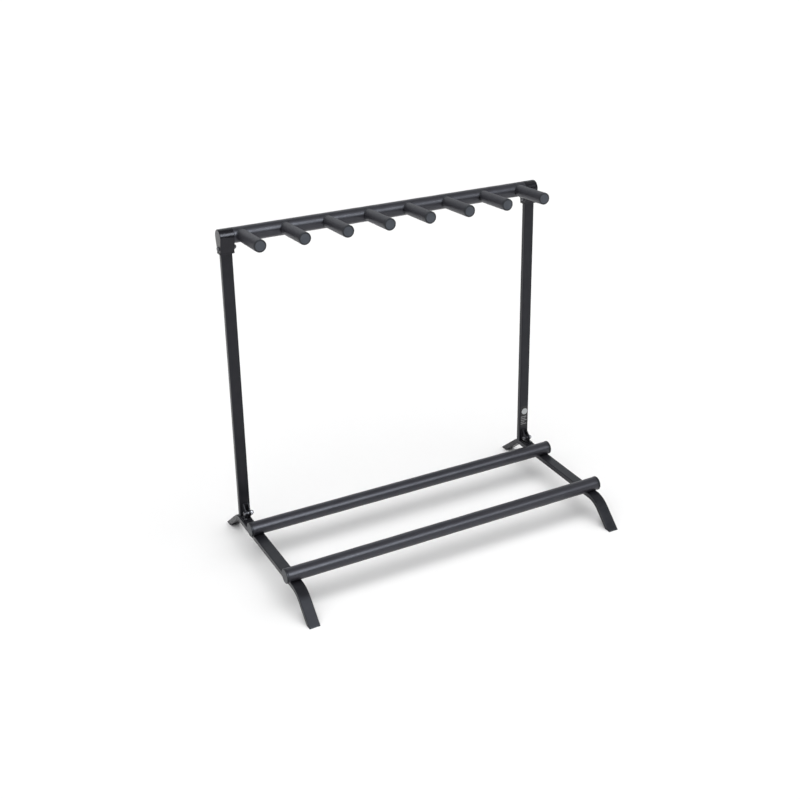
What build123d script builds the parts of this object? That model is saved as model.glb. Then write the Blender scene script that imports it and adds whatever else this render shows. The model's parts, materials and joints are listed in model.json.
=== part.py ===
"""Folding rack for seven guitars: two bent side rails, two foam-covered base bars, a hinged upright frame
and a foam-covered top bar with eight padded pegs. Millimetres, +Z up, -Y towards the player.
The origin is on the floor at the centre of the rack's footprint."""

from build123d import *
from math import radians, sin, tan
import os

# Overall layout
RACK_DEPTH = 484.5  # from front toe to back toe
FRONT_REACH = 400.0  # from the uprights' mid-plane to the front toe
RAIL_X = 386.2  # from the rack's centre to the middle of each side rail
RAIL_TOE = 0.75  # degrees by which each rail opens out towards the back
UPRIGHT_X = 385.0  # mid-plane of each upright
UPRIGHT_Y = FRONT_REACH - RACK_DEPTH / 2
BACK_REACH = RACK_DEPTH - FRONT_REACH
MARGIN = 1.0  # how far a cutting solid runs past the face it cuts

# Rectangular steel tube, shared by the rails and uprights
TUBE_WIDTH = 25.4
TUBE_DEPTH = 12.7
TUBE_CORNER = 1.8
BORE_CORNER = 0.6
TUBE_WALL = 1.2

# Side rails
RAIL_CENTRE_Z = 52.5
RAIL_TOP = RAIL_CENTRE_Z + TUBE_DEPTH / 2
RAIL_UNDERSIDE = RAIL_CENTRE_Z - TUBE_DEPTH / 2
FRONT_FOOT_ANGLE = 43.0  # slopes from the floor
BACK_FOOT_ANGLE = 39.0
FRONT_BEND_RADIUS = 56.0  # both on the tube's centre line
BACK_BEND_RADIUS = 30.0
FOOT_RUN_ON = 40.0  # how far the bent blank runs on below the floor before it is trimmed
FOOT_CAP_FLANGE = 2.0
FOOT_CAP_PLUG = 12.0

# Round steel tube and foam of the base bars
BAR_RADIUS = 12.5
BAR_WALL = 1.2
BASE_FOAM_RADIUS = 16.0
FOAM_FIT = 0.1
BASE_BAR_HALF = 405.5  # to the outer face of the end caps
BASE_CAP_RADIUS = 16.6
BASE_CAP_FLANGE = 4.0
BASE_CAP_PLUG = 8.0
BASE_CAP_EDGE = 1.2
BASE_FOAM_NOTCH = 0.5  # clearance of the foam's notch above each rail
BASE_FOAM_NOTCH_SIDE = 0.8  # and on each side of it
BASE_BAR_Z = RAIL_TOP + BAR_RADIUS
BASE_BAR_Y = {"front": UPRIGHT_Y - 296.5, "back": UPRIGHT_Y - 88.0}
BASE_NUT_RISE = 3.2  # from the rail's top to the nut inside the bar
BASE_BOLT_PAST_NUT = 7.5  # from the nut's seat to the end of the bolt

# Top bar and its moulded connectors
TOP_BAR_Z = 739.5
TOP_FOAM_RADIUS = 17.3
CONNECTOR_RADIUS = 17.5
CONNECTOR_OUTER = 400.5  # outer face of each connector
CONNECTOR_LENGTH = 31.5
CONNECTOR_END_WALL = 3.5
CONNECTOR_SIDE_WALL = 3.0
CONNECTOR_BLOCK_TOP = 26.0  # all three are depths below the bar's axis
CONNECTOR_BLOCK_BOTTOM = 37.0
CONNECTOR_BOLT_DROP = 25.5
CONNECTOR_LIP_HEIGHT = 3.0
CONNECTOR_LIP_PROUD = 1.0
CONNECTOR_LIP_CORNER = 2.0
CONNECTOR_EDGE = 1.4
SLIP_FIT = 0.1  # also round every plug in its bore

# Pegs
PEG_COUNT = 8
PEG_PITCH = 100.0
PEG_TILT = 3.2  # degrees above level
PEG_REACH = 119.5  # from the top bar's axis to the end of the cap
PEG_TUBE_RADIUS = 9.5
PEG_TUBE_WALL = 1.2
PEG_FOAM_RADIUS = 14.0
PEG_COLLAR_RADIUS = 14.5
PEG_COLLAR_THICKNESS = 2.0
PEG_CAP_FLANGE = 3.5
PEG_CAP_EDGE = 1.4
PEG_CAP_PLUG = 10.0

# Uprights
UPRIGHT_REST_GAP = 0.2
UPRIGHT_PLUG_FLANGE = 2.0
UPRIGHT_PLUG_DEPTH = 12.0
UPRIGHT_HEAD_GAP = 2.0  # from the top of each upright to the top bar's tube
UPRIGHT_TOP = TOP_BAR_Z - BAR_RADIUS - UPRIGHT_HEAD_GAP

# Fold hinge, in front of each upright's foot
HINGE_FORWARD = 18.0  # from the upright's mid-plane to the pivot
HINGE_RISE = 12.5  # from the rail's top to the pivot
HINGE_OFFSET = 1.5  # the hinge stands off the upright's centre line, towards +X
LUG_HALF = 6.5
LUG_SHEET = 2.0
LUG_NOSE = 7.6
LUG_BELOW = 7.6
LUG_ABOVE = 21.0
BRACKET_HALF = 4.0
BRACKET_SHEET = 2.0
BRACKET_NOSE = 9.0
BRACKET_BASE_HALF = 10.2
BRACKET_BASE_LENGTH = 23.0
BRACKET_BASE_SHEET = 2.5
BRACKET_BASE_GAP = 0.75  # from the upright's front face to the back of the base plate
BRACKET_SCREW_ASIDE = 3.7  # from the outer ear to each screw's axis
BRACKET_SCREWS_FORWARD = (13.0, 24.5)  # from the upright's mid-plane
WASHER_RADIUS = 6.5
WASHER_THICKNESS = 0.45
HEAD_GAP = 0.05  # between the lug's ears and the bolt's head and nut
SPACER_RADIUS = 5.0
PIVOT_Y = UPRIGHT_Y - HINGE_FORWARD
PIVOT_Z = RAIL_TOP + HINGE_RISE

# Fasteners
M6_SHANK = 3.0
M6_HOLE = 3.05
M6_HEAD_RADIUS = 5.3
M6_HEAD_HEIGHT = 3.3
M6_HEAD_CROWN = 2.0  # radius of the head's domed edge
M6_NUT_FLATS = 10.0
M6_NUT_HEIGHT = 4.5
M6_NUT_COLLAR = 1.5
M6_NUT_SHOULDER = 0.5  # how much narrower the collar is than the nut's flats
M6_THREAD_END = 1.5  # thread showing past the nut
M6_SOCKET_FLATS = 4.0
M6_SOCKET_DEPTH = 2.0
SCREW_SHANK = 2.0
SCREW_HEAD_RADIUS = 3.5
SCREW_HEAD_HEIGHT = 1.6
SCREW_HEAD_EDGE = 1.0
SCREW_CROSS_WIDTH = 1.0
SCREW_CROSS_LENGTH = 4.2
SCREW_CROSS_DEPTH = 0.8
SCREW_LENGTH = 9.0

ALONG_X = Plane(origin=(0, 0, 0), x_dir=(0, 1, 0), z_dir=(1, 0, 0))  # sketch x is +Y, sketch y is +Z
SIDES = {"left": -1, "right": 1}


def at(x, y, z):
    return Location((x, y, z))


def disc_on(plane, radius, height):
    """A cylinder standing on a plane."""
    return extrude(plane * Circle(radius), height)


def hexagon_on(plane, flats, height):
    """A hexagonal prism standing on a plane, by its size across the flats."""
    return extrude(plane * RegularPolygon(flats / 2, 6, major_radius=False), height)


def rod_x(radius, x_from, x_to, y, z):
    """A cylinder along X between two stations."""
    disc = ALONG_X.offset(x_from) * Pos(y, z) * Circle(radius)
    return extrude(disc, x_to - x_from)


def rod_z(radius, z_from, z_to, x, y):
    """A cylinder along Z between two heights."""
    return at(x, y, z_from) * Cylinder(radius, z_to - z_from, align=(Align.CENTER, Align.CENTER, Align.MIN))


def block(x_range, y_range, z_range):
    """A box from its three ranges."""
    sizes = [high - low for low, high in (x_range, y_range, z_range)]
    middle = [(high + low) / 2 for low, high in (x_range, y_range, z_range)]
    return at(*middle) * Box(*sizes)


def hull_x(x_from, x_to, shapes):
    """The convex outline around some YZ shapes, extruded along X."""
    edges = [edge for shape in shapes for edge in shape.edges()]
    return extrude(ALONG_X.offset(x_from) * make_hull(edges), x_to - x_from)


# ---------------------------------------------------------------- fasteners

def button_head(plane):
    """A domed head with a hexagon socket. It sits on the plane and stands out along its normal."""
    head = disc_on(plane, M6_HEAD_RADIUS, M6_HEAD_HEIGHT)
    crown = head.faces().sort_by(lambda face: (face.center() - plane.origin).dot(plane.z_dir))[-1]
    head = fillet(crown.edges(), M6_HEAD_CROWN)
    return head - hexagon_on(plane.offset(M6_HEAD_HEIGHT - M6_SOCKET_DEPTH), M6_SOCKET_FLATS, M6_SOCKET_DEPTH)


def lock_nut(plane):
    """A hexagon nut with a round locking collar, on the plane and along its normal, bored for the bolt."""
    nut = hexagon_on(plane, M6_NUT_FLATS, M6_NUT_HEIGHT)
    nut += disc_on(plane.offset(M6_NUT_HEIGHT), M6_NUT_FLATS / 2 - M6_NUT_SHOULDER, M6_NUT_COLLAR)
    return nut - disc_on(plane, M6_SHANK, M6_NUT_HEIGHT + M6_NUT_COLLAR)


def bolt_and_nut(x_head, x_nut, y, z):
    """A bolt along X from its head's seat to its nut's seat, and the nut that closes it."""
    way = 1 if x_nut > x_head else -1
    head_plane = Plane(origin=(x_head, y, z), x_dir=(0, 1, 0), z_dir=(-way, 0, 0))
    nut_plane = Plane(origin=(x_nut, y, z), x_dir=(0, 1, 0), z_dir=(way, 0, 0))
    x_end = x_nut + way * (M6_NUT_HEIGHT + M6_NUT_COLLAR + M6_THREAD_END)
    shank = rod_x(M6_SHANK, min(x_head, x_end), max(x_head, x_end), y, z)
    return button_head(head_plane) + shank, lock_nut(nut_plane)


# ---------------------------------------------------------------- side rails

def foot_run(angle, height):
    """How far a sloping foot runs, seen from above, over a height."""
    return height / tan(radians(angle))


def half_cut(angle):
    """Half the length of the foot's level cut end."""
    return TUBE_DEPTH / sin(radians(angle)) / 2


def rail_x(sign, y):
    """The rail's mid-plane at a distance along the rack."""
    return sign * (RAIL_X + y * tan(radians(RAIL_TOE)))


def rail_blank(width, depth, corner):
    """A rectangular bar bent to the rail's line at X = 0, running on below the floor at both ends."""
    front = UPRIGHT_Y - FRONT_REACH + half_cut(FRONT_FOOT_ANGLE)
    back = UPRIGHT_Y + BACK_REACH - half_cut(BACK_FOOT_ANGLE)
    bends = [
        (0, front + foot_run(FRONT_FOOT_ANGLE, RAIL_CENTRE_Z), RAIL_CENTRE_Z),
        (0, back - foot_run(BACK_FOOT_ANGLE, RAIL_CENTRE_Z), RAIL_CENTRE_Z),
    ]
    front_end = (0, front - foot_run(FRONT_FOOT_ANGLE, FOOT_RUN_ON), -FOOT_RUN_ON)
    back_end = (0, back + foot_run(BACK_FOOT_ANGLE, FOOT_RUN_ON), -FOOT_RUN_ON)
    line = Polyline(front_end, *bends, back_end)
    for point, radius in zip(bends, (FRONT_BEND_RADIUS, BACK_BEND_RADIUS)):
        corner_point = line.vertices().sort_by_distance(point)[0]
        line = fillet(corner_point, radius)
    start = Plane(origin=line @ 0, x_dir=(1, 0, 0), z_dir=line % 0)
    return sweep(start * RectangleRounded(width, depth, corner), path=line)


def slab(z_from, z_to):
    """Everything of a rail between two heights."""
    return block((-TUBE_WIDTH, TUBE_WIDTH), (-RACK_DEPTH, RACK_DEPTH), (z_from, z_to))


def make_rail_and_caps(side, sign):
    bore_width = TUBE_WIDTH - 2 * TUBE_WALL
    bore_depth = TUBE_DEPTH - 2 * TUBE_WALL
    place = at(sign * RAIL_X, 0, 0) * Rot(0, 0, -sign * RAIL_TOE)
    outside = rail_blank(TUBE_WIDTH, TUBE_DEPTH, TUBE_CORNER)
    hollow = rail_blank(bore_width, bore_depth, BORE_CORNER)
    rail = place * ((outside - hollow) & slab(FOOT_CAP_FLANGE, RAIL_TOP + MARGIN))
    for y in BASE_BAR_Y.values():
        rail -= rod_z(M6_HOLE, RAIL_UNDERSIDE - MARGIN, RAIL_TOP + MARGIN, rail_x(sign, y), y)
    for hole_x, hole_y in bracket_screw_places(sign):
        rail -= rod_z(SCREW_SHANK, RAIL_CENTRE_Z, RAIL_TOP + MARGIN, hole_x, hole_y)
    flanges = outside & slab(0, FOOT_CAP_FLANGE)
    plugs = rail_blank(bore_width - 2 * SLIP_FIT, bore_depth - 2 * SLIP_FIT, BORE_CORNER)
    plugs &= slab(FOOT_CAP_FLANGE, FOOT_CAP_FLANGE + FOOT_CAP_PLUG)
    caps = (flanges + plugs).solids().sort_by(Axis.Y)
    return {
        f"side_rail_{side}": rail,
        f"foot_cap_front_{side}": place * caps[0],
        f"foot_cap_back_{side}": place * caps[-1],
    }


# ---------------------------------------------------------------- base bars

def make_base_bar(place, y):
    tube_half = BASE_BAR_HALF - BASE_CAP_FLANGE
    bore = BAR_RADIUS - BAR_WALL
    tube = rod_x(BAR_RADIUS, -tube_half, tube_half, y, BASE_BAR_Z)
    tube -= rod_x(bore, -tube_half, tube_half, y, BASE_BAR_Z)
    foam = rod_x(BASE_FOAM_RADIUS, -tube_half, tube_half, y, BASE_BAR_Z)
    foam -= rod_x(BAR_RADIUS + FOAM_FIT, -tube_half, tube_half, y, BASE_BAR_Z)
    across = (y - BASE_FOAM_RADIUS - MARGIN, y + BASE_FOAM_RADIUS + MARGIN)
    notch = TUBE_WIDTH / 2 + BASE_FOAM_NOTCH_SIDE
    for sign in SIDES.values():
        x = rail_x(sign, y)
        tube -= rod_z(M6_HOLE, RAIL_TOP - MARGIN, BASE_BAR_Z, x, y)
        foam -= block((x - notch, x + notch), across, (RAIL_UNDERSIDE, RAIL_TOP + BASE_FOAM_NOTCH))
    flange = rod_x(BASE_CAP_RADIUS, tube_half, BASE_BAR_HALF, y, BASE_BAR_Z)
    flange = fillet(flange.faces().sort_by(Axis.X)[-1].edges(), BASE_CAP_EDGE)
    cap = flange + rod_x(bore - SLIP_FIT, tube_half - BASE_CAP_PLUG, tube_half, y, BASE_BAR_Z)
    return {
        f"base_bar_tube_{place}": tube,
        f"base_bar_foam_{place}": foam,
        f"base_bar_cap_{place}_left": mirror(cap, Plane.YZ),
        f"base_bar_cap_{place}_right": cap,
    }


def make_base_bolts():
    """Bolts up through the rails into the base bars, and the nuts inside the bars."""
    nut_seat = RAIL_TOP + BASE_NUT_RISE
    bolts = []
    nuts = []
    for sign in SIDES.values():
        for y in BASE_BAR_Y.values():
            x = rail_x(sign, y)
            down = Plane(origin=(x, y, RAIL_UNDERSIDE), x_dir=(1, 0, 0), z_dir=(0, 0, -1))
            shank = rod_z(M6_SHANK, RAIL_UNDERSIDE, nut_seat + BASE_BOLT_PAST_NUT, x, y)
            bolts.append(button_head(down) + shank)
            nuts.append(lock_nut(Plane(origin=(x, y, nut_seat), x_dir=(1, 0, 0), z_dir=(0, 0, 1))))
    return {"base_bar_bolts": bolts, "base_bar_nuts": nuts}


# ---------------------------------------------------------------- fold hinges

def hinge_centre(sign):
    return sign * UPRIGHT_X + HINGE_OFFSET


def bracket_screw_places(sign):
    """The screws stand in line on the outer side of the bracket's ears."""
    x = hinge_centre(sign) + sign * (BRACKET_HALF + BRACKET_SCREW_ASIDE)
    return [(x, UPRIGHT_Y - forward) for forward in BRACKET_SCREWS_FORWARD]


def pivot_disc(radius):
    return Pos(PIVOT_Y, PIVOT_Z) * Circle(radius)


def make_hinge_bracket(sign):
    """A base plate on the rail with two upright ears, drilled for the pivot bolt."""
    centre = hinge_centre(sign)
    middle = rail_x(sign, PIVOT_Y)
    back = UPRIGHT_Y - TUBE_DEPTH / 2 - BRACKET_BASE_GAP
    bracket = block(
        (middle - BRACKET_BASE_HALF, middle + BRACKET_BASE_HALF),
        (back - BRACKET_BASE_LENGTH, back),
        (RAIL_TOP, RAIL_TOP + BRACKET_BASE_SHEET),
    )
    foot = Pos(PIVOT_Y, RAIL_TOP + BRACKET_BASE_SHEET / 2) * Rectangle(2 * BRACKET_NOSE, BRACKET_BASE_SHEET)
    for inner_x in (centre - BRACKET_HALF, centre + BRACKET_HALF - BRACKET_SHEET):
        bracket += hull_x(inner_x, inner_x + BRACKET_SHEET, [pivot_disc(BRACKET_NOSE), foot])
    bracket -= rod_x(M6_HOLE, centre - LUG_HALF, centre + LUG_HALF, PIVOT_Y, PIVOT_Z)
    hole_top = RAIL_TOP + BRACKET_BASE_SHEET + MARGIN
    for hole_x, hole_y in bracket_screw_places(sign):
        bracket -= rod_z(SCREW_SHANK, RAIL_TOP - MARGIN, hole_top, hole_x, hole_y)
    return bracket


def make_hinge_lug(sign):
    """A folded lug on the upright's front face, whose two ears straddle the bracket."""
    centre = hinge_centre(sign)
    face = UPRIGHT_Y - TUBE_DEPTH / 2
    height = LUG_BELOW + LUG_ABOVE
    middle = PIVOT_Z + (LUG_ABOVE - LUG_BELOW) / 2
    web_outline = Pos(face - LUG_SHEET / 2, middle) * Rectangle(LUG_SHEET, height)
    lug = extrude(ALONG_X.offset(centre - LUG_HALF) * web_outline, 2 * LUG_HALF)
    for inner_x in (centre - LUG_HALF, centre + LUG_HALF - LUG_SHEET):
        lug += hull_x(inner_x, inner_x + LUG_SHEET, [pivot_disc(LUG_NOSE), web_outline])
    return lug - rod_x(M6_HOLE, centre - LUG_HALF - MARGIN, centre + LUG_HALF + MARGIN, PIVOT_Y, PIVOT_Z)


def bracket_screw(x, y):
    """A pan-head screw with a cross recess, down through the bracket into the rail."""
    seat = RAIL_TOP + BRACKET_BASE_SHEET
    top = seat + SCREW_HEAD_HEIGHT
    head = rod_z(SCREW_HEAD_RADIUS, seat, top, x, y)
    screw = fillet(head.faces().sort_by(Axis.Z)[-1].edges(), SCREW_HEAD_EDGE)
    screw += rod_z(SCREW_SHANK, seat - SCREW_LENGTH, seat, x, y)
    recess = Box(SCREW_CROSS_WIDTH, SCREW_CROSS_LENGTH, 2 * SCREW_CROSS_DEPTH)
    recess += Box(SCREW_CROSS_LENGTH, SCREW_CROSS_WIDTH, 2 * SCREW_CROSS_DEPTH)
    return screw - at(x, y, top) * recess


def make_hinge_hardware():
    groups = {name: [] for name in
              ("hinge_bolts", "hinge_lock_nuts", "hinge_spacers", "hinge_washers", "hinge_bracket_screws")}
    seat = LUG_HALF + HEAD_GAP
    gap = BRACKET_HALF - BRACKET_SHEET
    for sign in SIDES.values():
        centre = hinge_centre(sign)
        bolt, nut = bolt_and_nut(centre - seat, centre + seat, PIVOT_Y, PIVOT_Z)
        groups["hinge_bolts"].append(bolt)
        groups["hinge_lock_nuts"].append(nut)
        spacer = rod_x(SPACER_RADIUS, centre - gap, centre + gap, PIVOT_Y, PIVOT_Z)
        groups["hinge_spacers"].append(spacer - rod_x(M6_HOLE, centre - gap, centre + gap, PIVOT_Y, PIVOT_Z))
        for low in (centre - BRACKET_HALF - WASHER_THICKNESS, centre + BRACKET_HALF):
            high = low + WASHER_THICKNESS
            washer = rod_x(WASHER_RADIUS, low, high, PIVOT_Y, PIVOT_Z)
            groups["hinge_washers"].append(washer - rod_x(M6_HOLE, low, high, PIVOT_Y, PIVOT_Z))
        for screw_x, screw_y in bracket_screw_places(sign):
            groups["hinge_bracket_screws"].append(bracket_screw(screw_x, screw_y))
    return groups


# ---------------------------------------------------------------- uprights

def make_upright(x):
    bottom = RAIL_TOP + UPRIGHT_REST_GAP + UPRIGHT_PLUG_FLANGE
    section = RectangleRounded(TUBE_WIDTH, TUBE_DEPTH, TUBE_CORNER)
    section -= RectangleRounded(TUBE_WIDTH - 2 * TUBE_WALL, TUBE_DEPTH - 2 * TUBE_WALL, BORE_CORNER)
    upright = extrude(at(x, UPRIGHT_Y, bottom) * section, UPRIGHT_TOP - bottom)
    bolt_z = TOP_BAR_Z - CONNECTOR_BOLT_DROP
    return upright - rod_x(M6_HOLE, x - TUBE_WIDTH, x + TUBE_WIDTH, UPRIGHT_Y, bolt_z)


def make_upright_plug(x):
    bottom = RAIL_TOP + UPRIGHT_REST_GAP
    flange = extrude(at(x, UPRIGHT_Y, bottom) * RectangleRounded(TUBE_WIDTH, TUBE_DEPTH, TUBE_CORNER),
                     UPRIGHT_PLUG_FLANGE)
    narrowing = 2 * (TUBE_WALL + SLIP_FIT)
    plug = RectangleRounded(TUBE_WIDTH - narrowing, TUBE_DEPTH - narrowing, BORE_CORNER)
    return flange + extrude(at(x, UPRIGHT_Y, bottom + UPRIGHT_PLUG_FLANGE) * plug, UPRIGHT_PLUG_DEPTH)


# ---------------------------------------------------------------- top connectors and bar

def make_top_connector(sign):
    """A closed moulding: a sleeve over the bar's end, tapering down to a block around the upright's head."""
    inner_x = CONNECTOR_OUTER - CONNECTOR_LENGTH
    half_depth = TUBE_DEPTH / 2 + CONNECTOR_SIDE_WALL
    round_end = Pos(UPRIGHT_Y, TOP_BAR_Z) * Circle(CONNECTOR_RADIUS)
    block_height = CONNECTOR_BLOCK_BOTTOM - CONNECTOR_BLOCK_TOP
    block_middle = TOP_BAR_Z - (CONNECTOR_BLOCK_BOTTOM + CONNECTOR_BLOCK_TOP) / 2
    foot = Pos(UPRIGHT_Y, block_middle) * Rectangle(2 * half_depth, block_height)
    body = hull_x(inner_x, CONNECTOR_OUTER, [round_end, foot])
    end_face = body.faces().sort_by(Axis.X)[-1]
    body = fillet(end_face.edges(), CONNECTOR_EDGE)
    lip_z = TOP_BAR_Z - CONNECTOR_BLOCK_BOTTOM
    proud = CONNECTOR_LIP_PROUD
    lip = block(
        (inner_x - proud, CONNECTOR_OUTER + proud),
        (UPRIGHT_Y - half_depth - proud, UPRIGHT_Y + half_depth + proud),
        (lip_z, lip_z + CONNECTOR_LIP_HEIGHT),
    )
    body += fillet(lip.edges().filter_by(Axis.Z), CONNECTOR_LIP_CORNER)
    bar_end = CONNECTOR_OUTER - CONNECTOR_END_WALL
    body -= rod_x(BAR_RADIUS + SLIP_FIT, inner_x - MARGIN, bar_end, UPRIGHT_Y, TOP_BAR_Z)
    socket = RectangleRounded(TUBE_WIDTH + 2 * SLIP_FIT, TUBE_DEPTH + 2 * SLIP_FIT, TUBE_CORNER)
    mouth = lip_z - MARGIN
    body -= extrude(at(UPRIGHT_X, UPRIGHT_Y, mouth) * socket, UPRIGHT_TOP + SLIP_FIT - mouth)
    bolt_z = TOP_BAR_Z - CONNECTOR_BOLT_DROP
    body -= rod_x(M6_HOLE, inner_x - MARGIN, CONNECTOR_OUTER + MARGIN, UPRIGHT_Y, bolt_z)
    return body if sign > 0 else mirror(body, Plane.YZ)


def make_connector_hardware():
    bolts = []
    nuts = []
    for sign in SIDES.values():
        faces = sorted(sign * reach for reach in (CONNECTOR_OUTER, CONNECTOR_OUTER - CONNECTOR_LENGTH))
        bolt, nut = bolt_and_nut(*faces, UPRIGHT_Y, TOP_BAR_Z - CONNECTOR_BOLT_DROP)
        bolts.append(bolt)
        nuts.append(nut)
    return {"connector_bolts": bolts, "connector_lock_nuts": nuts}


def peg_plane(x):
    """On the top bar's axis at one peg, with its normal along the peg."""
    level = Plane(origin=(x, UPRIGHT_Y, TOP_BAR_Z), x_dir=(1, 0, 0), z_dir=(0, -1, 0))
    return level.rotated((-PEG_TILT, 0, 0))


def peg_rod(plane, radius, start, end):
    return extrude(plane.offset(start) * Circle(radius), end - start)


def around_top_bar(radius, x):
    """A stretch of cylinder about the top bar's axis, as wide as one peg's share."""
    return rod_x(radius, x - PEG_PITCH / 2, x + PEG_PITCH / 2, UPRIGHT_Y, TOP_BAR_Z)


def make_peg(x):
    """One peg's tube, foam, end cap and collar."""
    plane = peg_plane(x)
    foam_end = PEG_REACH - PEG_CAP_FLANGE
    bore = PEG_TUBE_RADIUS - PEG_TUBE_WALL
    tube = peg_rod(plane, PEG_TUBE_RADIUS, 0, foam_end) - peg_rod(plane, bore, 0, foam_end)
    tube -= around_top_bar(BAR_RADIUS, x)
    clear = peg_rod(plane, PEG_TUBE_RADIUS + FOAM_FIT, 0, PEG_REACH)
    foam = peg_rod(plane, PEG_FOAM_RADIUS, 0, foam_end) - clear
    foam -= around_top_bar(TOP_FOAM_RADIUS + PEG_COLLAR_THICKNESS, x)
    collar = peg_rod(plane, PEG_COLLAR_RADIUS, 0, TOP_FOAM_RADIUS + 2 * PEG_COLLAR_THICKNESS) - clear
    collar &= around_top_bar(TOP_FOAM_RADIUS + PEG_COLLAR_THICKNESS, x)
    collar -= around_top_bar(TOP_FOAM_RADIUS, x)
    flange = peg_rod(plane, PEG_FOAM_RADIUS, foam_end, PEG_REACH)
    flange = fillet(flange.faces().sort_by(Axis.Y)[0].edges(), PEG_CAP_EDGE)
    cap = flange + peg_rod(plane, bore - SLIP_FIT, foam_end - PEG_CAP_PLUG, foam_end)
    return tube, foam, cap, collar


def peg_positions():
    return [(number - (PEG_COUNT - 1) / 2) * PEG_PITCH for number in range(PEG_COUNT)]


def make_top_bar():
    tube_half = CONNECTOR_OUTER - CONNECTOR_END_WALL
    foam_half = CONNECTOR_OUTER - CONNECTOR_LENGTH
    bore = BAR_RADIUS - BAR_WALL
    tube = rod_x(BAR_RADIUS, -tube_half, tube_half, UPRIGHT_Y, TOP_BAR_Z)
    tube -= rod_x(bore, -tube_half, tube_half, UPRIGHT_Y, TOP_BAR_Z)
    foam = rod_x(TOP_FOAM_RADIUS, -foam_half, foam_half, UPRIGHT_Y, TOP_BAR_Z)
    foam -= rod_x(BAR_RADIUS + FOAM_FIT, -foam_half, foam_half, UPRIGHT_Y, TOP_BAR_Z)
    for x in peg_positions():
        foam -= peg_rod(peg_plane(x), PEG_TUBE_RADIUS + FOAM_FIT, 0, PEG_REACH)
    return {"top_bar_tube": tube, "top_bar_foam": foam}


# ---------------------------------------------------------------- assembly

def build():
    parts = {}
    for side, sign in SIDES.items():
        parts.update(make_rail_and_caps(side, sign))
        parts[f"hinge_bracket_{side}"] = make_hinge_bracket(sign)
        parts[f"hinge_lug_{side}"] = make_hinge_lug(sign)
        parts[f"upright_{side}"] = make_upright(sign * UPRIGHT_X)
        parts[f"top_connector_{side}"] = make_top_connector(sign)
    parts["upright_foot_plugs"] = [make_upright_plug(sign * UPRIGHT_X) for sign in SIDES.values()]
    for place, y in BASE_BAR_Y.items():
        parts.update(make_base_bar(place, y))
    parts.update(make_base_bolts())
    parts.update(make_hinge_hardware())
    parts.update(make_connector_hardware())
    parts.update(make_top_bar())
    collars = []
    for number, x in enumerate(peg_positions(), start=1):
        tube, foam, cap, collar = make_peg(x)
        parts[f"peg_tube_{number}"] = tube
        parts[f"peg_foam_{number}"] = foam
        parts[f"peg_cap_{number}"] = cap
        collars.append(collar)
    parts["peg_collars"] = collars
    return parts


os.makedirs("parts", exist_ok=True)
for name, part in build().items():
    solids = [solid for piece in (part if isinstance(part, list) else [part]) for solid in piece.solids()]
    shape = Compound(solids) if len(solids) > 1 else solids[0]
    export_step(shape, f"parts/{name}.step")
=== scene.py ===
"""Folding guitar rack: foam sleeves, finishes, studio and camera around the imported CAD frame. Metres."""
import json
import math

import bmesh
import bpy
from mathutils import Matrix, Vector, noise


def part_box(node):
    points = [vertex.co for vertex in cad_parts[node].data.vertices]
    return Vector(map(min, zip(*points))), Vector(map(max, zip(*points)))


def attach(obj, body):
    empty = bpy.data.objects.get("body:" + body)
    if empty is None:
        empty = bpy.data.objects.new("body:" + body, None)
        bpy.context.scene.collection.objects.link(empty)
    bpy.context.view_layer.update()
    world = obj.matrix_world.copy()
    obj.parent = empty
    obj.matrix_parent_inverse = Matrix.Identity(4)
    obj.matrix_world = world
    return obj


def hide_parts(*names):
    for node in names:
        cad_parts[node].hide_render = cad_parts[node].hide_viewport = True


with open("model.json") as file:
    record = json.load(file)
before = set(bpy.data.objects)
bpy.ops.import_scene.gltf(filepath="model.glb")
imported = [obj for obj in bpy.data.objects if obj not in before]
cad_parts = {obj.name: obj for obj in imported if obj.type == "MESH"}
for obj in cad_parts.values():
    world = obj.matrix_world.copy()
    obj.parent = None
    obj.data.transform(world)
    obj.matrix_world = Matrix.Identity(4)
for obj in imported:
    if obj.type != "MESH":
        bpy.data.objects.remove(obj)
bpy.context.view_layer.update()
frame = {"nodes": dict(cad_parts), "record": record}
NODES = frame["nodes"]
RECORD = frame["record"]
MM = 0.001
FLOOR_WHITE = 0.9  # albedo
ROOM_LIGHT = 0.16  # radiance of the dark studio round the lights
COOL = (0.94, 0.98, 1.0)  # colour of the lights that only make highlights


# ---------------------------------------------------------------- where the CAD puts things

def middle(node):
    low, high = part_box(node)
    return (low + high) / 2


def span(node, axis):
    low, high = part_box(node)
    return low[axis], high[axis]


UPRIGHT_Y = middle("upright_right").y
RAIL_TOP = span("base_bar_tube_back", 2)[0]
TOP_AXIS = middle("top_bar_tube")


def rail_x(y):
    """How far to the side the middle of a rail is. The rails toe out to the back."""
    front, back = middle("foot_cap_front_right"), middle("foot_cap_back_right")
    return front.x + (back.x - front.x) * (y - front.y) / (back.y - front.y)


# ---------------------------------------------------------------- node helpers

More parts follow.
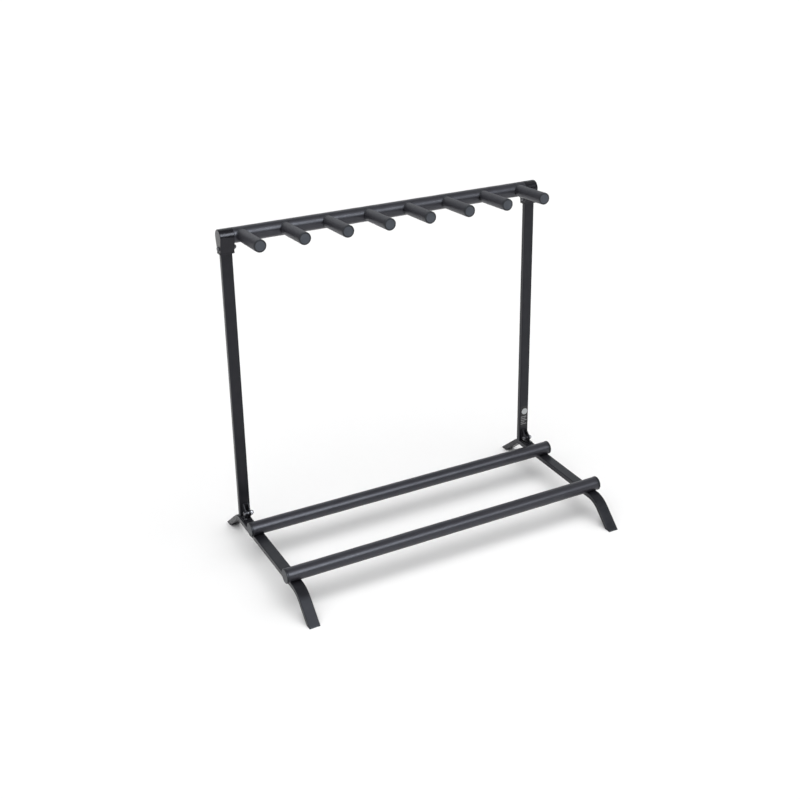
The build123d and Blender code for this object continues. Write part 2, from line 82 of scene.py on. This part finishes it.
class Shader:
    """A Principled material with object coordinates, built a node at a time."""

    def __init__(self, name):
        self.material = bpy.data.materials.new(name)
        self.material.use_nodes = True
        self.nodes = self.material.node_tree.nodes
        self.links = self.material.node_tree.links
        self.bsdf = self.nodes["Principled BSDF"]
        self.place = self.nodes.new("ShaderNodeTexCoord").outputs["Object"]

    def set(self, **values):
        for socket, value in values.items():
            self.bsdf.inputs[socket.replace("_", " ")].default_value = value
        return self

    def link(self, output, socket):
        self.links.new(output, self.bsdf.inputs[socket])

    def noise(self, per_metre, detail=2.0, rough=0.5, stretch=(1, 1, 1)):
        scaled = self.nodes.new("ShaderNodeVectorMath")
        scaled.operation = "MULTIPLY"
        scaled.inputs[1].default_value = stretch
        self.links.new(self.place, scaled.inputs[0])
        node = self.nodes.new("ShaderNodeTexNoise")
        node.inputs["Scale"].default_value = per_metre
        node.inputs["Detail"].default_value = detail
        node.inputs["Roughness"].default_value = rough
        self.links.new(scaled.outputs[0], node.inputs["Vector"])
        return node.outputs["Fac"]

    def cells(self, per_metre):
        node = self.nodes.new("ShaderNodeTexVoronoi")
        node.inputs["Scale"].default_value = per_metre
        self.links.new(self.place, node.inputs["Vector"])
        return node.outputs["Distance"]

    def ramp(self, value, low, high, from_low=0.3, from_high=0.7):
        node = self.nodes.new("ShaderNodeMapRange")
        node.interpolation_type = "SMOOTHSTEP"
        limits = {"From Min": from_low, "From Max": from_high, "To Min": low, "To Max": high}
        for socket, limit in limits.items():
            node.inputs[socket].default_value = limit
        self.links.new(value, node.inputs["Value"])
        return node.outputs["Result"]

    def mix(self, factor, first, second):
        node = self.nodes.new("ShaderNodeMix")
        node.data_type = "RGBA"
        self.links.new(factor, node.inputs["Factor"])
        for socket, colour in (("A", first), ("B", second)):
            found = [s for s in node.inputs if s.name == socket and s.type == "RGBA"][0]
            if isinstance(colour, (tuple, list)):
                found.default_value = (*colour, 1)
            else:
                self.links.new(colour, found)
        return [s for s in node.outputs if s.type == "RGBA"][0]

    def math(self, operation, first, second):
        node = self.nodes.new("ShaderNodeMath")
        node.operation = operation
        for socket, value in zip(node.inputs, (first, second)):
            if isinstance(value, (int, float)):
                socket.default_value = value
            else:
                self.links.new(value, socket)
        return node.outputs[0]

    def bump(self, height, distance, strength=1.0, under=None):
        node = self.nodes.new("ShaderNodeBump")
        node.inputs["Distance"].default_value = distance
        node.inputs["Strength"].default_value = strength
        self.links.new(height, node.inputs["Height"])
        if under is not None:
            self.links.new(under, node.inputs["Normal"])
        return node.outputs["Normal"]

    def edge(self, radius):
        """1 on sharp edges, 0 on flats, from the cosine between the rounded and the real normal."""
        rounded = self.nodes.new("ShaderNodeBevel")
        rounded.samples = 4
        rounded.inputs["Radius"].default_value = radius
        flat = self.nodes.new("ShaderNodeNewGeometry")
        dot = self.nodes.new("ShaderNodeVectorMath")
        dot.operation = "DOT_PRODUCT"
        self.links.new(rounded.outputs["Normal"], dot.inputs[0])
        self.links.new(flat.outputs["Normal"], dot.inputs[1])
        return self.ramp(dot.outputs["Value"], 1.0, 0.0, from_low=0.86, from_high=0.995)


def powder_coat():
    s = Shader("powder_coat").set(Specular_IOR_Level=0.32, Specular_Tint=(0.88, 0.90, 1.0, 1.0))
    base = s.mix(s.ramp(s.noise(45, 3), 0, 1), (0.0085, 0.0085, 0.0105), (0.012, 0.012, 0.0145))
    # Edge wear on the powder coat: the edges are lighter in noisy patches.
    edge_wear_and_highlight = s.math("MULTIPLY", s.edge(0.0007), s.ramp(s.noise(160, 3), 0.1, 1.0, 0.42, 0.62))
    s.link(s.mix(edge_wear_and_highlight, base, (0.040, 0.041, 0.045)), "Base Color")
    s.link(s.ramp(s.noise(90, 4), 0.28, 0.38), "Roughness")
    peel = s.bump(s.noise(520, 2), 0.00006, 0.5)
    s.link(s.bump(s.noise(2600, 2), 0.000012, 0.5, peel), "Normal")
    return s.material


def foam(name, smoothest, roughest):
    """Closed-cell foam with a slight skin."""
    s = Shader(name).set(Specular_IOR_Level=0.62, Specular_Tint=(0.87, 0.89, 1.0, 1.0))
    base = s.mix(s.ramp(s.noise(28, 3), 0, 1), (0.0140, 0.0130, 0.0165), (0.0185, 0.0175, 0.0215))
    pores = s.cells(1500)
    s.link(s.mix(s.ramp(pores, 1.0, 0.0, 0.05, 0.35), base, (0.009, 0.009, 0.011)), "Base Color")
    s.link(s.ramp(s.noise(300, 3), smoothest, roughest), "Roughness")
    skin = s.bump(s.noise(140, 4, 0.6), 0.00020, 0.25)
    cells = s.bump(pores, 0.00010, 0.35, skin)
    s.link(s.bump(s.noise(3200, 2), 0.00003, 0.4, cells), "Normal")
    return s.material


def moulded_plastic():
    s = Shader("moulded_plastic").set(Specular_IOR_Level=0.36, Specular_Tint=(0.90, 0.90, 1.0, 1.0))
    base = s.mix(s.ramp(s.noise(70, 3), 0, 1), (0.0055, 0.0052, 0.0068), (0.0092, 0.0088, 0.0110))
    # Painted highlight: every moulded edge is lightened evenly, standing in for light catching the bevels.
    edge_wear_and_highlight = s.math("MULTIPLY", s.edge(0.0006), 0.5)
    s.link(s.mix(edge_wear_and_highlight, base, (0.035, 0.036, 0.040)), "Base Color")
    s.link(s.ramp(s.noise(240, 4, 0.6), 0.19, 0.26), "Roughness")
    flow = s.bump(s.noise(60, 2), 0.00010, 0.20)
    s.link(s.bump(s.noise(1500, 2), 0.000015, 0.5, flow), "Normal")
    return s.material


def cap_plastic(name, centre, pale_radius, dark, pale):
    """Grey plastic, darker outside the pale disc round the cap's centre."""
    s = Shader(name).set(Specular_IOR_Level=0.5, Specular_Tint=(0.86, 0.91, 1.0, 1.0))
    base = s.mix(s.ramp(s.noise(80, 3), 0, 1), dark, pale)
    away = s.nodes.new("ShaderNodeVectorMath")
    away.operation = "DISTANCE"
    away.inputs[1].default_value = centre
    s.links.new(s.place, away.inputs[0])
    rim = s.ramp(away.outputs["Value"], 0.0, 1.0, pale_radius - 0.4 * MM, pale_radius + 0.5 * MM)
    s.link(s.mix(rim, base, (0.010, 0.010, 0.012)), "Base Color")
    s.link(s.ramp(s.noise(400, 3), 0.40, 0.52), "Roughness")
    grain = s.bump(s.cells(2200), 0.00003, 0.5)
    s.link(s.bump(s.noise(120, 2), 0.00008, 0.25, grain), "Normal")
    return s.material


def fastener():
    s = Shader("fastener").set(Metallic=1.0)
    base = s.mix(s.ramp(s.noise(500, 4), 0, 1), (0.11, 0.11, 0.12), (0.22, 0.22, 0.235))
    s.link(s.mix(s.edge(0.0004), base, (0.42, 0.42, 0.43)), "Base Color")
    s.link(s.ramp(s.noise(900, 3), 0.26, 0.42), "Roughness")
    s.link(s.bump(s.noise(1800, 3, 0.6, (0.2, 1, 1)), 0.00002, 0.6), "Normal")
    return s.material


FINISH = {
    "powder_coat": powder_coat(),
    "foam": foam("bar_foam", 0.33, 0.42),
    "moulded_plastic": moulded_plastic(),
    "fastener": fastener(),
}
GRIP_FOAM = foam("grip_foam", 0.42, 0.52)
PEG_CAP_PALE = 0.76  # radius of the pale disc, as a share of the cap's
BAR_CAP_PALE = 0.84


def cap_finish(node):
    """A cap's own finish: the pale disc is in the middle of its outer face."""
    low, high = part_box(node)
    face = (low + high) / 2
    if node.startswith("peg_cap"):
        face.y = low.y
        return cap_plastic(f"{node}_plastic", face, PEG_CAP_PALE * (high.x - low.x) / 2,
                           (0.050, 0.055, 0.067), (0.063, 0.069, 0.082))
    face.x = high.x if face.x > 0 else low.x
    return cap_plastic(f"{node}_plastic", face, BAR_CAP_PALE * (high.z - low.z) / 2,
                       (0.020, 0.021, 0.025), (0.028, 0.030, 0.035))


def finish_cad_nodes():
    for part in RECORD["subparts"]:
        node = NODES[part["node"]]
        slot = part["material_slot"]
        finish = cap_finish(part["node"]) if slot == "cap_plastic" else FINISH[slot]
        node.data.materials.clear()
        node.data.materials.append(finish)


# ---------------------------------------------------------------- pieces

def quarter_turn(steps):
    """Angles from 0 to a right angle, both included."""
    return [math.pi / 2 * i / steps for i in range(steps + 1)]


def finish_piece(mesh, name, body, material):
    """Turns a bmesh into a piece that rides on a body."""
    bmesh.ops.recalc_face_normals(mesh, faces=mesh.faces)
    data = bpy.data.meshes.new(name)
    mesh.to_mesh(data)
    mesh.free()
    piece = bpy.data.objects.new(name, data)
    bpy.context.scene.collection.objects.link(piece)
    data.materials.append(material)
    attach(piece, body)
    return piece


# ---------------------------------------------------------------- foam sleeves

NOTCH_HALF = 20 * MM  # a base bar's foam starts to flatten this far from a rail's middle
NOTCH_BLEND = 7 * MM
NOTCH_GAP = 0.5 * MM  # between the rail's top and the flattened foam
PEG_BORE = 9.5 * MM
PEG_CAP_RIM = 3.6 * MM  # from the end of a peg's foam to its cap's outer face
PEG_SADDLE_GAP = 2 * MM  # room for the collar between the top bar's foam and a peg's
PEG_SADDLE_BLEND = 12 * MM


def smooth_step(value):
    value = min(1.0, max(0.0, value))
    return value * value * (3 - 2 * value)


def sleeve_profile(start, end, inner, outer, round_end, step):
    """(station, radius) pairs down the outside of a sleeve and back along its bore."""
    corner = [(round_end * (1 - math.cos(a)), round_end * (1 - math.sin(a))) for a in quarter_turn(5)]
    head = [(start + run, outer - drop) for run, drop in corner]
    tail = [(end - run, outer - drop) for run, drop in reversed(corner)]
    count = max(2, round((end - start - 2 * round_end) / step))
    first, last = head[-1][0], tail[0][0]
    body = [(first + (last - first) * i / count, outer) for i in range(1, count)]
    return [(start, inner)] + head + body + tail + [(end, inner)]


def make_sleeve(name, body, node, profile, place, shape, finish, segments=72):
    """A closed sleeve revolved round its axis. shape has the last word on each vertex."""
    mesh = bmesh.new()
    rings = []
    for station, radius in profile:
        ring = []
        for i in range(segments):
            angle = 2 * math.pi * i / segments
            local = Vector((math.cos(angle) * radius, math.sin(angle) * radius, station))
            ring.append(mesh.verts.new(shape(place @ local, station, radius, angle)))
        rings.append(ring)
    for near, far in zip(rings, rings[1:] + rings[:1]):
        for i in range(segments):
            j = (i + 1) % segments
            mesh.faces.new((near[i], near[j], far[j], far[i])).smooth = True
    piece = finish_piece(mesh, name, body, finish)
    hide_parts(node)


def lumps(point, seed, size, depth):
    """A slow unevenness of the foam's skin."""
    return depth * noise.noise(Vector(point) / size + Vector((seed, seed * 1.7, seed * 0.3)))


def axis_frame(origin, along, side):
    """A frame with its Z along the sleeve."""
    along = Vector(along).normalized()
    side = Vector(side).normalized()
    other = along.cross(side)
    return Matrix.Translation(origin) @ Matrix((side, other, along)).transposed().to_4x4()


def make_base_foam(place_name, seed):
    node = f"base_bar_foam_{place_name}"
    low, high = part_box(node)
    tube_low, tube_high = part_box(f"base_bar_tube_{place_name}")
    centre = (tube_low + tube_high) / 2
    outer = (high.y - low.y) / 2
    inner = (tube_high.y - tube_low.y) / 2
    place = axis_frame(Vector((0, centre.y, centre.z)), (1, 0, 0), (0, 1, 0))
    rail = rail_x(centre.y)
    flat = RAIL_TOP + NOTCH_GAP

    def shape(point, station, radius, angle):
        if radius <= inner:
            return point
        radial = Vector((0, point.y - centre.y, point.z - centre.z)).normalized()
        near_rail = smooth_step((NOTCH_HALF - abs(abs(point.x) - rail)) / NOTCH_BLEND)
        point = point + radial * lumps(point, seed, 35 * MM, 0.25 * MM)
        if point.z < flat and near_rail > 0:
            point.z += (flat - point.z) * near_rail
        return point

    profile = sleeve_profile(low.x, high.x, inner, outer, 1.6 * MM, 4 * MM)
    make_sleeve(f"foam_sleeve_{place_name}", "base", node, profile, place, shape, FINISH["foam"])


def make_top_foam():
    low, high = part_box("top_bar_foam")
    tube_low, tube_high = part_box("top_bar_tube")
    outer = (high.z - low.z) / 2
    inner = (tube_high.z - tube_low.z) / 2
    place = axis_frame(Vector((0, TOP_AXIS.y, TOP_AXIS.z)), (1, 0, 0), (0, 1, 0))

    def shape(point, station, radius, angle):
        if radius <= inner:
            return point
        radial = Vector((0, point.y - TOP_AXIS.y, point.z - TOP_AXIS.z)).normalized()
        return point + radial * lumps(point, 5.1, 30 * MM, 0.25 * MM)

    profile = sleeve_profile(low.x, high.x, inner, outer, 1.2 * MM, 4 * MM)
    make_sleeve("foam_sleeve_top", "upright_frame", "top_bar_foam", profile, place, shape,
                FINISH["foam"])


def make_peg_foam(number):
    node = f"peg_foam_{number}"
    low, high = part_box(node)
    cap_low, cap_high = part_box(f"peg_cap_{number}")
    outer = (high.x - low.x) / 2
    x = (low.x + high.x) / 2
    tip = Vector((x, cap_low.y, (cap_low.z + cap_high.z) / 2))
    root = Vector((x, TOP_AXIS.y, TOP_AXIS.z))
    along = (tip - root).normalized()
    bar_bottom, bar_top = span("top_bar_foam", 2)
    top_radius = (bar_top - bar_bottom) / 2 + PEG_SADDLE_GAP
    reach = (tip - root).length - PEG_CAP_RIM
    place = axis_frame(root, along, (1, 0, 0))

    def shape(point, station, radius, angle):
        across = radius * math.sin(angle)
        saddle = math.sqrt(max(top_radius ** 2 - across ** 2, 0)) - top_radius
        share = smooth_step(1 - (station - top_radius) / PEG_SADDLE_BLEND)
        point = point + along * saddle * share
        if radius <= PEG_BORE:
            return point
        axis_point = root + along * (point - root).dot(along)
        radial = (point - axis_point).normalized()
        return point + radial * lumps(point, number * 3.3, 22 * MM, 0.2 * MM)

    profile = sleeve_profile(top_radius, reach, PEG_BORE, outer, 1.3 * MM, 3 * MM)
    make_sleeve(f"foam_grip_{number}", "upright_frame", node, profile, place, shape, GRIP_FOAM, 64)


# ---------------------------------------------------------------- welds and label

WELD_RADIUS = 1.5 * MM
WELD_PITCH = 1.9 * MM  # length of one ripple
RIPPLE_STEPS = 8
WELD_DEPTH = 0.4 * MM  # how far the bead is sunk into the steel
WELD_SAG = 0.35 * MM


def make_weld(name, x, outward, y_face, z_low, z_high):
    """A rippled fillet weld up the corner between a lug and the upright's front face."""
    mesh = bmesh.new()
    steps = RIPPLE_STEPS * round((z_high - z_low) / WELD_PITCH)
    rings = []
    for i in range(steps + 1):
        along = i / steps
        from_end = min(along, 1 - along) * steps / RIPPLE_STEPS
        taper = math.sin(math.pi * min(1.0, 0.5 * from_end + 0.12) / 2)
        wave = 2 * math.pi * i / RIPPLE_STEPS
        ripple = 1 + 0.10 * math.sin(wave) + 0.08 * noise.noise(Vector((x, 0, i * 0.3)))
        size = WELD_RADIUS * taper * ripple
        z = z_low + (z_high - z_low) * along
        sag = WELD_SAG * math.cos(wave)
        arc = [(-WELD_DEPTH, WELD_DEPTH)]
        arc += [(size * math.cos(a), -size * math.sin(a)) for a in quarter_turn(5)]
        sags = [sag if k in (3, 4) else 0 for k in range(len(arc))]
        rings.append([mesh.verts.new((x + outward * dx, y_face + dy, z + drop))
                      for (dx, dy), drop in zip(arc, sags)])
    for near, far in zip(rings, rings[1:]):
        for k in range(len(near)):
            j = (k + 1) % len(near)
            mesh.faces.new((near[k], near[j], far[j], far[k]))
    mesh.faces.new(rings[0])
    mesh.faces.new(list(reversed(rings[-1])))
    for face in mesh.faces:
        face.smooth = len(face.verts) == 4
    finish_piece(mesh, name, "upright_frame", FINISH["powder_coat"])


def make_welds():
    for side in ("left", "right"):
        low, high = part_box(f"hinge_lug_{side}")
        y_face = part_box(f"upright_{side}")[0].y
        foot = span(f"upright_{side}", 2)[0]
        for edge, x, outward in (("outer", low.x, -1), ("inner", high.x, 1)):
            make_weld(f"lug_weld_{side}_{edge}", x, outward, y_face, foot + 2 * MM, high.z - 1.5 * MM)


LABEL_Z = 129 * MM  # height of the label's middle over the floor
LABEL_HALF = (10.3 * MM, 29 * MM)
LABEL_CORNER = 1.5 * MM
FILM_THICKNESS = 0.15 * MM
PRINT_THICKNESS = 0.05 * MM
DISC_RADIUS = 8.4 * MM
DISC_OFFSET = (1.5 * MM, 14 * MM)
BAR_LEFT = 9.3 * MM  # the bars start this far to the left of the label's middle
BAR_HALF_HEIGHT = 1.15 * MM
BAR_CORNER = 0.6 * MM
BARS = ((1.0, 8.5), (6.0, 7), (11.0, 9), (16.0, 5.5), (21.0, 8.5))  # mm under the middle, half length


def rounded_plate(mesh, x, z, half_width, half_height, corner, y_back, y_front):
    """A thin plate facing -Y with rounded corners."""
    outline = []
    for quarter, (sx, sz) in enumerate(((1, 1), (-1, 1), (-1, -1), (1, -1))):
        for k in range(7):
            a = math.pi / 2 * (quarter + k / 6)
            outline.append((x + sx * (half_width - corner) + corner * math.cos(a),
                            z + sz * (half_height - corner) + corner * math.sin(a)))
    back = [mesh.verts.new((px, y_back, pz)) for px, pz in outline]
    front = [mesh.verts.new((px, y_front, pz)) for px, pz in outline]
    for i in range(len(outline)):
        j = (i + 1) % len(outline)
        mesh.faces.new((back[i], back[j], front[j], front[i]))
    mesh.faces.new(front)
    mesh.faces.new(list(reversed(back)))


def label_film():
    s = Shader("label_film").set(Specular_IOR_Level=0.4, Roughness=0.30)
    base = s.mix(s.ramp(s.noise(300, 2), 0, 1), (0.012, 0.012, 0.014), (0.016, 0.016, 0.018))
    s.link(base, "Base Color")
    s.link(s.bump(s.noise(90, 2), 0.00008, 0.3), "Normal")
    return s.material


def label_print(name, pale, paler):
    s = Shader(name).set(Specular_IOR_Level=0.3, Roughness=0.55)
    s.link(s.mix(s.ramp(s.noise(700, 3), 0, 1), pale, paler), "Base Color")
    s.link(s.bump(s.noise(1500, 2), 0.00001, 0.4), "Normal")
    return s.material


def make_label():
    """A blank sticker near the foot of the right upright: a plain disc over plain bars."""
    low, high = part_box("upright_right")
    x = (low.x + high.x) / 2
    face = low.y
    film_face = face - FILM_THICKNESS
    print_face = film_face - PRINT_THICKNESS
    mesh = bmesh.new()
    rounded_plate(mesh, x, LABEL_Z, *LABEL_HALF, LABEL_CORNER, face, film_face)
    finish_piece(mesh, "label", "upright_frame", label_film())
    mesh = bmesh.new()
    rounded_plate(mesh, x + DISC_OFFSET[0], LABEL_Z + DISC_OFFSET[1], DISC_RADIUS, DISC_RADIUS,
                  DISC_RADIUS - 0.001 * MM, film_face, print_face)
    finish_piece(mesh, "label_disc", "upright_frame",
                 label_print("label_white", (0.50, 0.52, 0.53), (0.62, 0.64, 0.65)))
    mesh = bmesh.new()
    for drop, half in BARS:
        rounded_plate(mesh, x - BAR_LEFT + half * MM, LABEL_Z - drop * MM, half * MM, BAR_HALF_HEIGHT,
                      BAR_CORNER, film_face, print_face)
    finish_piece(mesh, "label_bars", "upright_frame",
                 label_print("label_grey", (0.24, 0.24, 0.25), (0.32, 0.32, 0.33)))


# ---------------------------------------------------------------- studio

def make_stage():
    bpy.ops.mesh.primitive_plane_add(size=80, location=(0, 0, 0))
    floor = bpy.context.object
    floor.name = "floor"
    s = Shader("floor").set(Specular_IOR_Level=0.1, Roughness=0.8)
    s.link(s.mix(s.noise(1.5, 2), (FLOOR_WHITE,) * 3, (0.91, 0.91, 0.91)), "Base Color")
    floor.data.materials.append(s.material)
    world = bpy.data.worlds.new("studio")
    bpy.context.scene.world = world
    world.use_nodes = True
    nodes = world.node_tree.nodes
    links = world.node_tree.links
    rays = nodes.new("ShaderNodeLightPath")
    strength = nodes.new("ShaderNodeMapRange")
    strength.inputs["To Min"].default_value = ROOM_LIGHT
    strength.inputs["To Max"].default_value = 1.0
    links.new(rays.outputs["Is Camera Ray"], strength.inputs["Value"])
    links.new(strength.outputs["Result"], nodes["Background"].inputs["Strength"])
    nodes["Background"].inputs["Color"].default_value = (1, 1, 1, 1)


def direction(azimuth, elevation):
    """Azimuth 0 is in front, and a right angle is on the +X side."""
    return Vector((math.sin(azimuth) * math.cos(elevation), -math.cos(azimuth) * math.cos(elevation),
                   math.sin(elevation)))


def add_sun(name, azimuth, elevation, width, floor_share, diffuse=True, glossy=True):
    """A soft light at infinity that gives a share of a white floor's light. Angles are in degrees."""
    way = direction(math.radians(azimuth), math.radians(elevation))
    light = bpy.data.lights.new(name, "SUN")
    light.angle = math.radians(width)
    light.energy = floor_share * math.pi / (FLOOR_WHITE * way.z)
    if not diffuse:
        light.color = COOL
    lamp = bpy.data.objects.new(name, light)
    bpy.context.scene.collection.objects.link(lamp)
    lamp.rotation_euler = way.to_track_quat("Z", "Y").to_euler()
    lamp.visible_diffuse = diffuse
    lamp.visible_glossy = glossy


def make_lights():
    """A strip along X lights the rack and shapes its shadows. The panels only make highlights."""
    add_sun("strip_left", -72, 57, 64, 0.27, glossy=False)
    add_sun("strip_middle", 0, 76, 66, 0.39, glossy=False)
    add_sun("strip_right", 72, 57, 64, 0.23, glossy=False)
    add_sun("key_panel", 15, 32.5, 28, 0.245, diffuse=False)
    add_sun("high_key_panel", 9, 48, 28, 0.13, diffuse=False)
    add_sun("foot_panel", 5, 62, 26, 0.05, diffuse=False)
    add_sun("top_sheen", -40, 80, 110, 0.06, diffuse=False)
    add_sun("left_panel", -55, 40, 40, 0.05, diffuse=False)
    add_sun("left_back_panel", -112, 18, 70, 0.062, diffuse=False)
    add_sun("right_panel", 95, 38, 40, 0.03, diffuse=False)
    add_sun("back_panel", 165, 30, 60, 0.08, diffuse=False)


CAMERA_AZIMUTH = math.radians(-27.66)
CAMERA_ELEVATION = math.radians(21.23)
CAMERA_ROLL = math.radians(-0.73)
CAMERA_PLACE = (-1.1406, UPRIGHT_Y - 2.2804, 1.4924)


def make_camera():
    azimuth, roll = CAMERA_AZIMUTH, CAMERA_ROLL
    back = direction(azimuth, CAMERA_ELEVATION)
    level = Vector((math.cos(azimuth), math.sin(azimuth), 0))
    upright = back.cross(level)
    right = level * math.cos(roll) + upright * math.sin(roll)
    up = upright * math.cos(roll) - level * math.sin(roll)
    camera = bpy.data.cameras.new("camera")
    camera.sensor_width = 36
    camera.lens = 52.545
    camera.shift_x = -0.0108
    camera.shift_y = -0.1152
    camera.clip_end = 200
    holder = bpy.data.objects.new("camera", camera)
    bpy.context.scene.collection.objects.link(holder)
    pose = Matrix((right, up, back)).transposed().to_4x4()
    holder.matrix_world = Matrix.Translation(CAMERA_PLACE) @ pose
    bpy.context.scene.camera = holder


finish_cad_nodes()
make_base_foam("front", 1.3)
make_base_foam("back", 2.9)
make_top_foam()
for peg in range(1, 9):
    make_peg_foam(peg)
make_welds()
make_label()
make_stage()
make_lights()
make_camera()
bpy.context.scene.view_settings.view_transform = "Standard"
